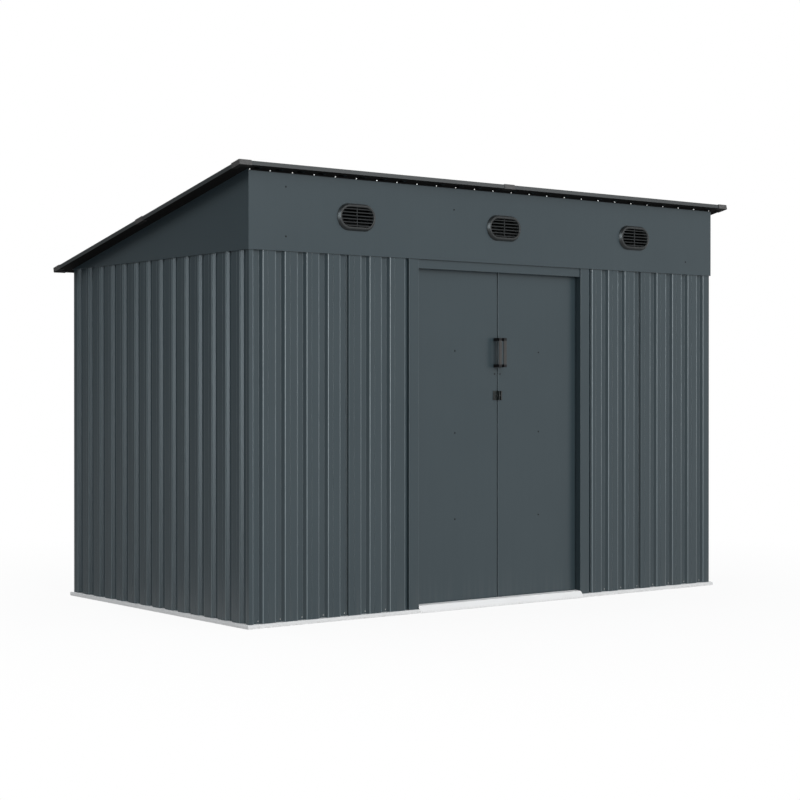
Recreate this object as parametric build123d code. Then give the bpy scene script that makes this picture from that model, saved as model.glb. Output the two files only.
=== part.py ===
from build123d import *
import os
from math import atan2, cos, degrees, radians, sin, tan

# Metal storage shed with a single-slope roof, high at the front, and two sliding doors.
# Frame: X to the right along the front, Y to the back, Z up. The origin is on the ground,
# under the middle of the roof. Lengths are in millimetres.

# Driving sizes of the whole shed
RIB_PITCH = 105.0              # spacing of the wall corrugations
FRONT_PITCHES = 25             # corrugations along the front and the back
SIDE_PITCHES = 14              # corrugations along each side
EAVE_HEIGHT = 1488.0           # top of the corrugated walls
ROOF_ANGLE = radians(12)       # fall of the roof from front to back
FRONT_OVERHANG = 50.0
SIDE_OVERHANG = 75.0
BACK_OVERHANG = 60.0
DOOR_OPENING = 932.0           # clear width between the jambs
DOOR_TRAVEL = 420.0            # how far each leaf slides open

# Wall sheets
WALL_SHEET = 0.8
BEND_RADIUS = 3.0              # rolled bends at the mouths of the grooves
EDGE_RADIUS = 1.3              # folded edges of the jambs and door leaves
BEND_ROOM_SHARE = 1.4          # straight that a rounded bend needs beside it, in radii
BEND_THIN_SHARE = 0.5          # how much of the sheet's thickness a rounded bend may take off
GROOVE_DEPTH = 13.0
GROOVE_MOUTH = 45.0
GROOVE_FLOOR = 23.0
FRONT_GROOVE_SHARE = 0.405     # centre of a groove within its pitch, front and back
SIDE_GROOVE_SHARE = 0.43       # the same on the sides, from the front corner
CREASE_SHARE = 0.85            # place of the shallow crease on each crest
CREASE_WIDTH = 6.0
CREASE_DEPTH = 0.6
FRONT_SEAM_SHARES = (0.17, 0.81)  # places of the panel seams along the front
BACK_SEAM_SHARE = 0.5

# Door jambs, folded from flat sheet
JAMB_FACE = 52.0
JAMB_STEP = 16.0               # sunk strip between the corrugation and the jamb face
JAMB_REVEAL = 30.0             # return beside the door
JAMB_TUCK = 10.0               # flange that lies behind the wall sheet

# Base rails, the ramp and the rails under the roof
SNUG = 0.3                     # clearance between pieces that fit into each other
RAIL_SHEET = 1.2
RAIL_HEIGHT = 15.5
RAIL_LIP = 13.0                # how far the rail stands out in front of the wall
RAIL_UPSTAND = 30.0
RAMP_SHEET = 1.5
RAMP_LAP = 14.0                # how far the ramp reaches in front of each jamb
RAMP_TOE = 35.0                # toe of the ramp, in front of the wall
RAMP_HEIGHT = 30.0
TOP_RAIL_HEIGHT = 35.0
TOP_RAIL_LEG = 35.0
POST_LEG_SHARE = 0.8           # leg of a corner post, as a share of the first crest

# Flat panels above the walls
PANEL_PROUD = 5.5              # how far the fascia and gables stand out from the walls
PANEL_FLANGE = 24.0            # bottom flange that lies on top of the wall
GABLE_TAIL = 2.2               # height of a gable at the back corner

# Roof
CAP_SHEET = 2.0                # thickness of the plastic corner caps and joint covers
CAP_LEG = 58.0
CAP_CORNER = 4.0               # rounding of the caps' outer corners
TRIM_SHEET = 1.5
TRIM_HEIGHT = 17.0
TRIM_DEPTH = 22.0
ROOF_SHEETS = 3
ROOF_RIBS = 8                  # ribs on each roof sheet
ROOF_RIB_HEIGHT = 9.0
ROOF_RIB_FOOT = 36.0
ROOF_RIB_TOP = 20.0
PURLIN_HEIGHT = 40.0
PURLIN_LEG = 25.0
PURLIN_SHARES = (0.32, 0.66)   # places of the purlins down the slope

# Louvre vents in the fascia
VENT_LENGTH = 186.0
VENT_HEIGHT = 108.0
VENT_PROUD = 14.0
VENT_BEVEL = 6.0
VENT_RIM = 9.0
VENT_CLIP = 16.4               # clipped corners of the opening and the collar behind it
VENT_FACET = 6.0               # second clip, which brings the opening's corners near to round
VENT_COLLAR = 10.0             # depth behind the fascia
VENT_COLLAR_WALL = 3.0
VENT_SPACING = 796.0
VENT_LIFT = 154.0              # centre of the vents above the walls
VENT_BLADES = 7
BLADE_SHEET = 2.0
BLADE_DEPTH = 8.0
BLADE_ANGLE = 30.0             # degrees below level, seen from the front
BLADE_SETBACK = 2.0            # front edges of the blades behind the rim's face
VENT_BAR = 6.0

# Doors
DOOR_SETBACK = 35.6            # leaf face behind the wall's outer plane
LEAF_DEPTH = 20.0
LEAF_GAP = 5.0                 # between the closed leaves
LEAF_LAP = 14.0                # how far a closed leaf reaches behind its jamb
LEAF_BOTTOM = 24.0
LEAF_DROP = 9.0                # gap between the top of a leaf and the track
GUIDE_CLEAR = 6.5              # beside the leaf in the threshold's guide
HEADER_DROP = 38.0             # height of the strip over the doors
HEADER_SETBACK = 5.0
HEADER_LIP = 8.0
TRACK_SHEET = 1.5
TRACK_WIDTH = 34.0
TRACK_HEIGHT = 26.0
TRACK_SLOT = 12.0
TRACK_END = 15.0               # track beyond the open leaf
SLIDER_LENGTH = 60.0
SLIDER_HEAD = 14.0
SLIDER_CLEAR = 1.0             # clearance beside the slider's head
SLIDER_NECK = 8.0
SLIDER_INSET = 90.0            # slider centre from the end of its leaf
RUN_CLEAR = 0.3                # running clearance of the slider on the track's lips
BRACE_SHARES = (0.257, 0.506, 0.743)  # heights of the braces, as shares of the walls'
BRACE_WIDTH = 60.0
BRACE_DEPTH = 12.0
BRACE_FOOT = 12.0
BRACE_INSET = 8.0
HANDLE_X = 17.0
HANDLE_Z = 1101.0
HANDLE_HEIGHT = 128.0
HANDLE_WIDTH = 12.0
HANDLE_REACH = 38.0
HANDLE_BAR = 10.0
HANDLE_ARM = 12.0
HANDLE_CORNER = 6.0
HASP_Z = 914.0
HASP_HEIGHT = 40.0
HASP_PLATE = 22.0
HASP_REACH = 20.0
HASP_SHEET = 2.5
HASP_HOLE = 9.0

# Sizes that follow from those above
WALL_WIDTH = FRONT_PITCHES * RIB_PITCH
WALL_DEPTH = SIDE_PITCHES * RIB_PITCH
ROOF_WIDTH = WALL_WIDTH + 2 * SIDE_OVERHANG
ROOF_DEPTH = WALL_DEPTH + FRONT_OVERHANG + BACK_OVERHANG
SIDE_X = WALL_WIDTH / 2
FRONT_Y = FRONT_OVERHANG - ROOF_DEPTH / 2
BACK_Y = FRONT_Y + WALL_DEPTH
WALL_INSIDE = GROOVE_DEPTH + WALL_SHEET
DOOR_HALF = DOOR_OPENING / 2
RAMP_LENGTH = DOOR_OPENING + 2 * RAMP_LAP
RUN_END = SIDE_X - DOOR_HALF - JAMB_FACE - JAMB_STEP
LEAF_WIDTH = DOOR_HALF + LEAF_LAP - LEAF_GAP / 2
LEAF_FACE_Y = FRONT_Y + DOOR_SETBACK
TRACK_TOP = EAVE_HEIGHT - RAIL_SHEET
TRACK_BOTTOM = TRACK_TOP - TRACK_HEIGHT
LEAF_TOP = TRACK_BOTTOM - LEAF_DROP
TRACK_CENTRE = DOOR_SETBACK + LEAF_DEPTH / 2
CAP_HEIGHT = TRIM_HEIGHT + 2 * CAP_SHEET
CAP_WIDTH = CAP_SHEET + TRIM_DEPTH
ROOF_FRONT_Y = CAP_HEIGHT * sin(ROOF_ANGLE) - ROOF_DEPTH / 2
ROOF_LENGTH = (ROOF_DEPTH - CAP_HEIGHT * sin(ROOF_ANGLE)) / cos(ROOF_ANGLE)
ROOF_UNDER = CAP_SHEET + TRIM_HEIGHT - TRIM_SHEET
ROOF_TOP = (EAVE_HEIGHT + GABLE_TAIL + (BACK_Y - ROOF_FRONT_Y) * tan(ROOF_ANGLE)
            + ROOF_UNDER / cos(ROOF_ANGLE))
BEVEL_ANGLE = degrees(atan2(VENT_BEVEL, VENT_PROUD))
MITRE_REACH = DOOR_SETBACK + LEAF_DEPTH + TRACK_WIDTH
UP = (0, 0, 1)
RIGHT = (1, 0, 0)
BACKWARD = (0, 1, 0)
LEFT = (-1, 0, 0)
FRONT_CORNER = (-SIDE_X, FRONT_Y)
RIGHT_CORNER = (SIDE_X, FRONT_Y)
BACK_CORNER = (SIDE_X, BACK_Y)


def bent_sheet(path, thickness, radius=0):
    """Face of a folded sheet. The path is its outer skin, and the sheet lies to its left, or to its right
    if the thickness is negative. Outward bends are rounded where the straights are long enough, and only
    as far as the sheet's thickness allows."""
    skin = [Vector(*point) for point in path]
    headings = [(b - a).normalized() for a, b in zip(skin, skin[1:])]
    normals = [Vector(-heading.Y, heading.X) for heading in headings]
    inner = []
    for point, before, after in zip(skin, normals[:1] + normals, normals + normals[-1:]):
        mitre = before + after
        inner.append(point + mitre * (2 * thickness / mitre.dot(mitre)))
    bends = []
    for a, b, c in zip(skin, skin[1:], skin[2:]):
        outward = (b - a).cross(c - b).Z * thickness > 0
        roomy = min((b - a).length, (c - b).length) > BEND_ROOM_SHARE * radius
        half_turn = radians((b - a).get_angle(c - b)) / 2
        widest = BEND_THIN_SHARE * abs(thickness) / (1 - cos(half_turn))
        bends.append(min(radius, widest) if outward and roomy else 0)
    ends = [Line(skin[0], inner[0]).edge(), Line(skin[-1], inner[-1]).edge()]
    return make_face(FilletPolyline(*skin, radius=bends).edges() + Polyline(*inner).edges() + ends)


def stand_up(path, thickness, corner, along, bottom, top, radius=0):
    """Upright folded sheet. The path is in plan: along the wall from its corner, then inwards."""
    plan = Plane(origin=(*corner, bottom), x_dir=along, z_dir=UP)
    return extrude(plan * bent_sheet(path, thickness, radius), amount=top - bottom, dir=UP)


def run_along(path, thickness, corner, along, start, length):
    """Folded rail. The path is its section: inwards from the corner's line, then upwards."""
    inwards = (-along[1], along[0], 0)
    section = Plane(origin=Vector(*corner) + Vector(*along) * start, x_dir=inwards, z_dir=along)
    return extrude(section * bent_sheet(path, thickness), amount=length, dir=along)


def block(low, high):
    """Box between two corners."""
    size = Vector(*high) - Vector(*low)
    return Pos(*low) * Box(size.X, size.Y, size.Z, align=(Align.MIN, Align.MIN, Align.MIN))


def mitre_zone(points):
    """Upright prism that cuts a piece's ends at 45 degrees at the corners of the shed."""
    return extrude(make_face(Polyline(*points, close=True).edges()), amount=ROOF_TOP, dir=UP)


def both_sides(name, piece):
    """A piece of the right side and its mirror image on the left."""
    return {"right_" + name: piece, "left_" + name: mirror(piece, about=Plane.YZ)}


def corrugated_skin(share, low, high):
    """Outer skin of a corrugated wall between two places, with the grooves that fit there whole."""
    points = [(low, 0)]
    margin = GROOVE_MOUTH / 2 + 2 * EDGE_RADIUS
    for pitch in range(FRONT_PITCHES):
        groove = (pitch + share) * RIB_PITCH
        crease = (pitch + CREASE_SHARE) * RIB_PITCH
        if low + margin < groove < high - margin:
            points += [(groove - GROOVE_MOUTH / 2, 0), (groove - GROOVE_FLOOR / 2, GROOVE_DEPTH),
                       (groove + GROOVE_FLOOR / 2, GROOVE_DEPTH), (groove + GROOVE_MOUTH / 2, 0)]
        if low + margin < crease < high - margin:
            points += [(crease - CREASE_WIDTH / 2, 0), (crease, CREASE_DEPTH),
                       (crease + CREASE_WIDTH / 2, 0)]
    return points + [(high, 0)]


def split_skin(points, seam_share):
    """The skin's two halves, parted in the middle of the far wall of the groove at the seam's place."""
    groove = int(seam_share * FRONT_PITCHES) + FRONT_GROOVE_SHARE
    seam = (groove * RIB_PITCH + (GROOVE_MOUTH + GROOVE_FLOOR) / 4, GROOVE_DEPTH / 2)
    first = [point for point in points if point[0] < seam[0]]
    second = [point for point in points if point[0] > seam[0]]
    return first + [seam], [seam] + second


def wall_panel(skin, corner, along):
    return stand_up(skin, WALL_SHEET, corner, along, RAIL_HEIGHT, EAVE_HEIGHT, BEND_RADIUS)


nodes = {}

# The corners of the shed are mitred: each side's rails and flat panels stay in its own zone.
out_x, in_x = SIDE_X + MITRE_REACH, SIDE_X - MITRE_REACH
out_front, in_front = FRONT_Y - MITRE_REACH, FRONT_Y + MITRE_REACH
out_back, in_back = BACK_Y + MITRE_REACH, BACK_Y - MITRE_REACH
front_zone = mitre_zone([(-out_x, out_front), (out_x, out_front), (in_x, in_front), (-in_x, in_front)])
right_zone = mitre_zone([(out_x, out_front), (out_x, out_back), (in_x, in_back), (in_x, in_front)])
back_zone = mitre_zone([(out_x, out_back), (-out_x, out_back), (-in_x, in_back), (in_x, in_back)])
FRONT_RUN = (-MITRE_REACH, WALL_WIDTH + 2 * MITRE_REACH)
SIDE_RUN = (-MITRE_REACH, WALL_DEPTH + 2 * MITRE_REACH)

# Base rails: a lip in front of the wall, a shelf that carries it and an upstand behind its grooves
rail_path = [(WALL_INSIDE, RAIL_HEIGHT + RAIL_UPSTAND), (WALL_INSIDE, RAIL_HEIGHT),
             (-RAIL_LIP, RAIL_HEIGHT), (-RAIL_LIP, 0), (WALL_INSIDE, 0)]
ramp_half = RAMP_LENGTH / 2
front_rail = run_along(rail_path, RAIL_SHEET, (ramp_half, FRONT_Y), RIGHT, 0, out_x - ramp_half)
front_rail &= front_zone
nodes["front_base_rails"] = front_rail + mirror(front_rail, about=Plane.YZ)
side_rail = run_along(rail_path, RAIL_SHEET, RIGHT_CORNER, BACKWARD, *SIDE_RUN) & right_zone
nodes["side_base_rails"] = side_rail + mirror(side_rail, about=Plane.YZ)
nodes["back_base_rail"] = run_along(rail_path, RAIL_SHEET, BACK_CORNER, LEFT, *FRONT_RUN) & back_zone

# Ramp: one folded sheet, with the guide for the leaves behind it, notched round the jambs
ramp_back = DOOR_SETBACK - GUIDE_CLEAR
guide_back = DOOR_SETBACK + LEAF_DEPTH + GUIDE_CLEAR
ramp_path = [(-RAMP_TOE, RAMP_SHEET), (ramp_back, RAMP_HEIGHT), (ramp_back, RAMP_SHEET),
             (guide_back, RAMP_SHEET), (guide_back, RAMP_HEIGHT)]
ramp = run_along(ramp_path, -RAMP_SHEET, (-ramp_half, FRONT_Y), RIGHT, 0, RAMP_LENGTH)
notch = block((DOOR_HALF - SNUG, FRONT_Y - SNUG, 0), (RAMP_LENGTH, in_front, RAMP_LENGTH))
nodes["door_ramp"] = ramp - notch - mirror(notch, about=Plane.YZ)

# Corrugated walls, folded back beside the jambs, with upright seams between panels
left_seam, right_seam = FRONT_SEAM_SHARES
left_run = corrugated_skin(FRONT_GROOVE_SHARE, 0, RUN_END) + [(RUN_END, GROOVE_DEPTH)]
right_start = WALL_WIDTH - RUN_END
right_run = [(right_start, GROOVE_DEPTH)] + corrugated_skin(FRONT_GROOVE_SHARE, right_start, WALL_WIDTH)
left_outer, left_inner = split_skin(left_run, left_seam)
right_inner, right_outer = split_skin(right_run, right_seam)
nodes["front_wall_left_outer"] = wall_panel(left_outer, FRONT_CORNER, RIGHT)
nodes["front_wall_left_inner"] = wall_panel(left_inner, FRONT_CORNER, RIGHT)
nodes["front_wall_right_inner"] = wall_panel(right_inner, FRONT_CORNER, RIGHT)
nodes["front_wall_right_outer"] = wall_panel(right_outer, FRONT_CORNER, RIGHT)
side_skin = corrugated_skin(SIDE_GROOVE_SHARE, WALL_SHEET, WALL_DEPTH - WALL_SHEET)
nodes |= both_sides("wall", wall_panel(side_skin, RIGHT_CORNER, BACKWARD))
back_skins = split_skin(corrugated_skin(FRONT_GROOVE_SHARE, 0, WALL_WIDTH), BACK_SEAM_SHARE)
for side, skin in zip(("right", "left"), back_skins):
    nodes["back_wall_" + side] = wall_panel(skin, BACK_CORNER, LEFT)

# Jambs: a flange behind the wall sheet, the sunk step, the flat face and the reveal, which is
# notched at its top round the rail that carries the door track
step_end = RUN_END + JAMB_STEP
jamb_end = step_end + JAMB_FACE
jamb_path = [(RUN_END - JAMB_TUCK, GROOVE_DEPTH), (step_end, GROOVE_DEPTH), (step_end, 0), (jamb_end, 0),
             (jamb_end, JAMB_REVEAL)]
jamb = stand_up(jamb_path, WALL_SHEET, FRONT_CORNER, RIGHT, RAIL_HEIGHT, EAVE_HEIGHT, EDGE_RADIUS)
jamb -= block((-SIDE_X, FRONT_Y + WALL_INSIDE, EAVE_HEIGHT - TOP_RAIL_HEIGHT), (0, in_front, EAVE_HEIGHT))
nodes["door_jambs"] = jamb + mirror(jamb, about=Plane.YZ)

# Corner posts: angles inside the first crest of each wall
post_leg = POST_LEG_SHARE * (FRONT_GROOVE_SHARE * RIB_PITCH - GROOVE_MOUTH / 2)
post_path = [(WALL_SHEET, post_leg), (WALL_SHEET, WALL_SHEET), (post_leg, WALL_SHEET)]
front_post = stand_up(post_path, RAIL_SHEET, FRONT_CORNER, RIGHT, RAIL_HEIGHT, EAVE_HEIGHT)
back_post = stand_up(post_path, RAIL_SHEET, BACK_CORNER, LEFT, RAIL_HEIGHT, EAVE_HEIGHT)
nodes["corner_posts"] = (front_post + mirror(front_post, about=Plane.YZ)
                         + back_post + mirror(back_post, about=Plane.YZ))


def top_rail_path(leg):
    return [(WALL_INSIDE, EAVE_HEIGHT - TOP_RAIL_HEIGHT), (WALL_INSIDE, EAVE_HEIGHT),
            (WALL_INSIDE + leg, EAVE_HEIGHT)]


# Top rails: angles inside the tops of the walls; the front one is wide enough to carry the door track
track_leg = TRACK_CENTRE + TRACK_WIDTH / 2 - WALL_INSIDE
front_top = run_along(top_rail_path(track_leg), -RAIL_SHEET, FRONT_CORNER, RIGHT, *FRONT_RUN)
side_top = run_along(top_rail_path(TOP_RAIL_LEG), -RAIL_SHEET, RIGHT_CORNER, BACKWARD, *SIDE_RUN)
back_top = run_along(top_rail_path(TOP_RAIL_LEG), -RAIL_SHEET, BACK_CORNER, LEFT, *FRONT_RUN)
side_top &= right_zone
nodes["front_top_rail"] = front_top & front_zone
nodes["side_top_rails"] = side_top + mirror(side_top, about=Plane.YZ)
nodes["back_top_rail"] = back_top & back_zone

# Door header strip between the jambs, and the track that the sliders run in
header_bottom = EAVE_HEIGHT - HEADER_DROP
header_path = [(HEADER_SETBACK + HEADER_LIP, header_bottom), (HEADER_SETBACK, header_bottom),
               (HEADER_SETBACK, EAVE_HEIGHT)]
nodes["door_header"] = run_along(header_path, -WALL_SHEET, (-DOOR_HALF, FRONT_Y), RIGHT, 0, DOOR_OPENING)
track_front, track_back = TRACK_CENTRE - TRACK_WIDTH / 2, TRACK_CENTRE + TRACK_WIDTH / 2
track_path = [(TRACK_CENTRE - TRACK_SLOT / 2, TRACK_BOTTOM), (track_front, TRACK_BOTTOM),
              (track_front, TRACK_TOP), (track_back, TRACK_TOP), (track_back, TRACK_BOTTOM),
              (TRACK_CENTRE + TRACK_SLOT / 2, TRACK_BOTTOM)]
track_half = LEAF_GAP / 2 + LEAF_WIDTH + DOOR_TRAVEL + TRACK_END
nodes["door_track"] = run_along(track_path, -TRACK_SHEET, (-track_half, FRONT_Y), RIGHT, 0, 2 * track_half)

# Roof frame: x as the shed's, y down the slope from the front edge, z square to the roof
square_to_roof = (0, sin(ROOF_ANGLE), cos(ROOF_ANGLE))
roof = Plane(origin=(0, ROOF_FRONT_Y, ROOF_TOP), x_dir=RIGHT, z_dir=square_to_roof).location
over_roof = roof * block((-ROOF_WIDTH, -ROOF_LENGTH, -ROOF_UNDER),
                         (ROOF_WIDTH, 2 * ROOF_LENGTH, ROOF_LENGTH))


def vent_window(margin):
    """Outline of a vent's louvred opening, with clipped corners, and a margin round it."""
    inset = 2 * (VENT_BEVEL + VENT_RIM - margin)
    return chamfer(Rectangle(VENT_LENGTH - inset, VENT_HEIGHT - inset).vertices(), VENT_CLIP)


# Vents: a bevelled rim with round ends, a collar through the fascia, sloping blades and an upright bar
opening_face = chamfer(vent_window(0).vertices(), VENT_FACET)
opening = Pos(0, 0, -VENT_COLLAR) * extrude(opening_face, amount=VENT_COLLAR + VENT_PROUD)
vent = extrude(SlotOverall(VENT_LENGTH, VENT_HEIGHT), amount=VENT_PROUD, taper=BEVEL_ANGLE)
vent += extrude(vent_window(VENT_COLLAR_WALL), amount=-VENT_COLLAR)
vent -= opening
opening_height = VENT_HEIGHT - 2 * (VENT_BEVEL + VENT_RIM)
blade_pitch = opening_height / (VENT_BLADES + 1)
blade_middle = VENT_PROUD - BLADE_SETBACK - BLADE_DEPTH / 2
blade = Rot(X=BLADE_ANGLE) * Box(VENT_LENGTH, BLADE_SHEET, BLADE_DEPTH)
for row in range(VENT_BLADES):
    height = (row + 1) * blade_pitch - opening_height / 2
    vent += Pos(0, height, blade_middle) * blade & opening
vent += Pos(0, 0, blade_middle) * Box(VENT_BAR, opening_height, BLADE_DEPTH) & opening
fascia_cut = extrude(vent_window(VENT_COLLAR_WALL + SNUG), amount=VENT_COLLAR, both=True)

# Fascia over the doors and the two gables, each with a flange that lies on top of its wall
panel_path = [(PANEL_FLANGE, EAVE_HEIGHT), (-PANEL_PROUD, EAVE_HEIGHT), (-PANEL_PROUD, ROOF_TOP)]
fascia = (run_along(panel_path, -WALL_SHEET, FRONT_CORNER, RIGHT, *FRONT_RUN) & front_zone) - over_roof
for side, x in (("left", -VENT_SPACING), ("centre", 0), ("right", VENT_SPACING)):
    centre = (x, FRONT_Y - PANEL_PROUD, EAVE_HEIGHT + VENT_LIFT)
    place = Plane(origin=centre, x_dir=RIGHT, z_dir=(0, -1, 0)).location
    fascia -= place * fascia_cut
    nodes[side + "_vent"] = place * vent
nodes["front_fascia"] = fascia
gable = (run_along(panel_path, -WALL_SHEET, RIGHT_CORNER, BACKWARD, *SIDE_RUN) & right_zone) - over_roof
nodes |= both_sides("gable", gable)

# Roof sheets with ribs down the slope, held in the edge trims
sheet_edge = CAP_SHEET + TRIM_SHEET + SNUG
sheet_width = (ROOF_WIDTH - 2 * sheet_edge) / ROOF_SHEETS
for number in range(ROOF_SHEETS):
    start = number * sheet_width + sheet_edge - ROOF_WIDTH / 2
    path = [(start, 0)]
    for rib in range(ROOF_RIBS):
        middle = start + (rib + 1) * sheet_width / (ROOF_RIBS + 1)
        path += [(middle - ROOF_RIB_FOOT / 2, 0), (middle - ROOF_RIB_TOP / 2, ROOF_RIB_HEIGHT),
                 (middle + ROOF_RIB_TOP / 2, ROOF_RIB_HEIGHT), (middle + ROOF_RIB_FOOT / 2, 0)]
    path += [(start + sheet_width, 0)]
    section = Plane(origin=(0, sheet_edge, -ROOF_UNDER), x_dir=RIGHT, z_dir=(0, -1, 0))
    sheet_face = section * bent_sheet(path, WALL_SHEET)
    sheet = extrude(sheet_face, amount=ROOF_LENGTH - 2 * sheet_edge, dir=BACKWARD)
    nodes["roof_sheet_" + ("left", "middle", "right")[number]] = roof * sheet

# Edge trims: channels round the roof sheets, open inwards
trim_path = [(CAP_WIDTH, -CAP_SHEET), (CAP_SHEET, -CAP_SHEET), (CAP_SHEET, CAP_SHEET - CAP_HEIGHT),
             (CAP_WIDTH, CAP_SHEET - CAP_HEIGHT)]
trim_run = (CAP_SHEET, ROOF_WIDTH - 2 * CAP_SHEET)
half_roof = ROOF_WIDTH / 2
nodes["front_roof_trim"] = roof * run_along(trim_path, TRIM_SHEET, (-half_roof, 0), RIGHT, *trim_run)
nodes["back_roof_trim"] = roof * run_along(trim_path, TRIM_SHEET, (half_roof, ROOF_LENGTH), LEFT, *trim_run)
side_run = (CAP_WIDTH, ROOF_LENGTH - 2 * CAP_WIDTH)
side_trim = run_along(trim_path, TRIM_SHEET, (half_roof, 0), BACKWARD, *side_run)
nodes |= both_sides("roof_trim", roof * side_trim)

# Plastic caps over the trims' corners, and covers over the joints in the middle of each edge
trim_space = block((CAP_SHEET - half_roof, CAP_SHEET, CAP_SHEET - CAP_HEIGHT),
                   (half_roof - CAP_SHEET, ROOF_LENGTH - CAP_SHEET, -CAP_SHEET))
cap = block((half_roof - CAP_LEG, 0, -CAP_HEIGHT), (half_roof, CAP_WIDTH, 0))
cap += block((half_roof - CAP_WIDTH, 0, -CAP_HEIGHT), (half_roof, CAP_LEG, 0))
corner_edge = cap.edges().filter_by(Axis.Z).sort_by(Axis.X)[-2:].sort_by(Axis.Y)[0]
cap = fillet(corner_edge, CAP_CORNER) - trim_space
middle_row = Plane(origin=(0, ROOF_LENGTH / 2, 0), z_dir=BACKWARD)
right_caps = cap + mirror(cap, about=middle_row)
nodes["roof_corner_caps"] = roof * (right_caps + mirror(right_caps, about=Plane.YZ))
front_cover = block((-CAP_LEG / 2, 0, -CAP_HEIGHT), (CAP_LEG / 2, CAP_WIDTH, 0)) - trim_space
side_cover = block((half_roof - CAP_WIDTH, (ROOF_LENGTH - CAP_LEG) / 2, -CAP_HEIGHT),
                   (half_roof, (ROOF_LENGTH + CAP_LEG) / 2, 0)) - trim_space
covers = front_cover + mirror(front_cover, about=middle_row)
covers += side_cover + mirror(side_cover, about=Plane.YZ)
nodes["roof_joint_covers"] = roof * covers

# Purlins under the roof sheets, from gable to gable
gable_inside = SIDE_X + PANEL_PROUD - WALL_SHEET
purlin_path = [(PURLIN_LEG, -ROOF_UNDER), (0, -ROOF_UNDER), (0, -ROOF_UNDER - PURLIN_HEIGHT),
               (PURLIN_LEG, -ROOF_UNDER - PURLIN_HEIGHT)]
purlins = Part()
for share in PURLIN_SHARES:
    corner = (-gable_inside, share * ROOF_LENGTH)
    purlins += run_along(purlin_path, RAIL_SHEET, corner, RIGHT, 0, 2 * gable_inside)
nodes["roof_purlins"] = roof * purlins

# Door leaf: a flat tray with its edges folded back
leaf_left = LEAF_GAP / 2
leaf_right = leaf_left + LEAF_WIDTH
leaf_back_y = LEAF_FACE_Y + LEAF_DEPTH
leaf_path = [(0, LEAF_DEPTH), (0, 0), (LEAF_WIDTH, 0), (LEAF_WIDTH, LEAF_DEPTH)]
leaf = stand_up(leaf_path, WALL_SHEET, (leaf_left, LEAF_FACE_Y), RIGHT, LEAF_BOTTOM, LEAF_TOP, EDGE_RADIUS)
for edge_z in (LEAF_BOTTOM, LEAF_TOP - WALL_SHEET):
    leaf += block((leaf_left + EDGE_RADIUS, LEAF_FACE_Y, edge_z),
                  (leaf_right - EDGE_RADIUS, leaf_back_y, edge_z + WALL_SHEET))
nodes |= both_sides("door_leaf", leaf)

# Braces across the back of the leaf
inside, outside = WALL_SHEET, WALL_SHEET + BRACE_DEPTH
braces = Part()
for share in BRACE_SHARES:
    low, high = share * EAVE_HEIGHT - BRACE_WIDTH / 2, share * EAVE_HEIGHT + BRACE_WIDTH / 2
    brace_path = [(inside, low), (inside, low + BRACE_FOOT), (outside, low + BRACE_FOOT),
                  (outside, high - BRACE_FOOT), (inside, high - BRACE_FOOT), (inside, high)]
    braces += run_along(brace_path, -WALL_SHEET, (leaf_left, LEAF_FACE_Y), RIGHT, BRACE_INSET,
                        LEAF_WIDTH - 2 * BRACE_INSET)
nodes |= both_sides("door_braces", braces)

# Sliders: heads that run on the lips of the track, with a neck down to the leaf
head_half = TRACK_WIDTH / 2 - TRACK_SHEET - SLIDER_CLEAR
head_bottom = TRACK_BOTTOM + TRACK_SHEET + RUN_CLEAR
track_y = FRONT_Y + TRACK_CENTRE
sliders = Part()
for middle in (leaf_left + SLIDER_INSET, leaf_right - SLIDER_INSET):
    low, high = middle - SLIDER_LENGTH / 2, middle + SLIDER_LENGTH / 2
    sliders += block((low, track_y - head_half, head_bottom),
                     (high, track_y + head_half, head_bottom + SLIDER_HEAD))
    sliders += block((low, track_y - SLIDER_NECK / 2, LEAF_TOP),
                     (high, track_y + SLIDER_NECK / 2, head_bottom))
nodes |= both_sides("door_sliders", sliders)

# Pull handle: two arms and an upright bar
bar_front = LEAF_FACE_Y - HANDLE_REACH
grip_low, grip_high = HANDLE_Z - HANDLE_HEIGHT / 2, HANDLE_Z + HANDLE_HEIGHT / 2
grip_left, grip_right = HANDLE_X - HANDLE_WIDTH / 2, HANDLE_X + HANDLE_WIDTH / 2
handle = block((grip_left, bar_front, grip_low), (grip_right, LEAF_FACE_Y, grip_high))
handle -= block((grip_left, bar_front + HANDLE_BAR, grip_low + HANDLE_ARM),
                (grip_right, LEAF_FACE_Y, grip_high - HANDLE_ARM))
handle = fillet(handle.edges().filter_by(Axis.X).group_by(Axis.Y)[0], HANDLE_CORNER)
nodes |= both_sides("door_handle", handle)

# Hasp: a plate on the leaf with a holed ear beside the meeting edge
ear_left = LEAF_GAP / 2 + EDGE_RADIUS
plate_front, ear_front = LEAF_FACE_Y - HASP_SHEET, LEAF_FACE_Y - HASP_REACH
hasp_low, hasp_high = HASP_Z - HASP_HEIGHT / 2, HASP_Z + HASP_HEIGHT / 2
hasp = block((ear_left, plate_front, hasp_low), (ear_left + HASP_PLATE, LEAF_FACE_Y, hasp_high))
hasp += block((ear_left, ear_front, hasp_low), (ear_left + HASP_SHEET, LEAF_FACE_Y, hasp_high))
hole_y = (plate_front + ear_front) / 2
hasp -= Pos(ear_left, hole_y, HASP_Z) * Rot(Y=90) * Cylinder(HASP_HOLE / 2, HASP_PLATE)
nodes |= both_sides("door_hasp", hasp)

os.makedirs("parts", exist_ok=True)
for name, piece in nodes.items():
    export_step(piece, f"parts/{name}.step")
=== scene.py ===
import math

import bmesh
import bpy
from mathutils import Matrix, Vector


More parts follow.
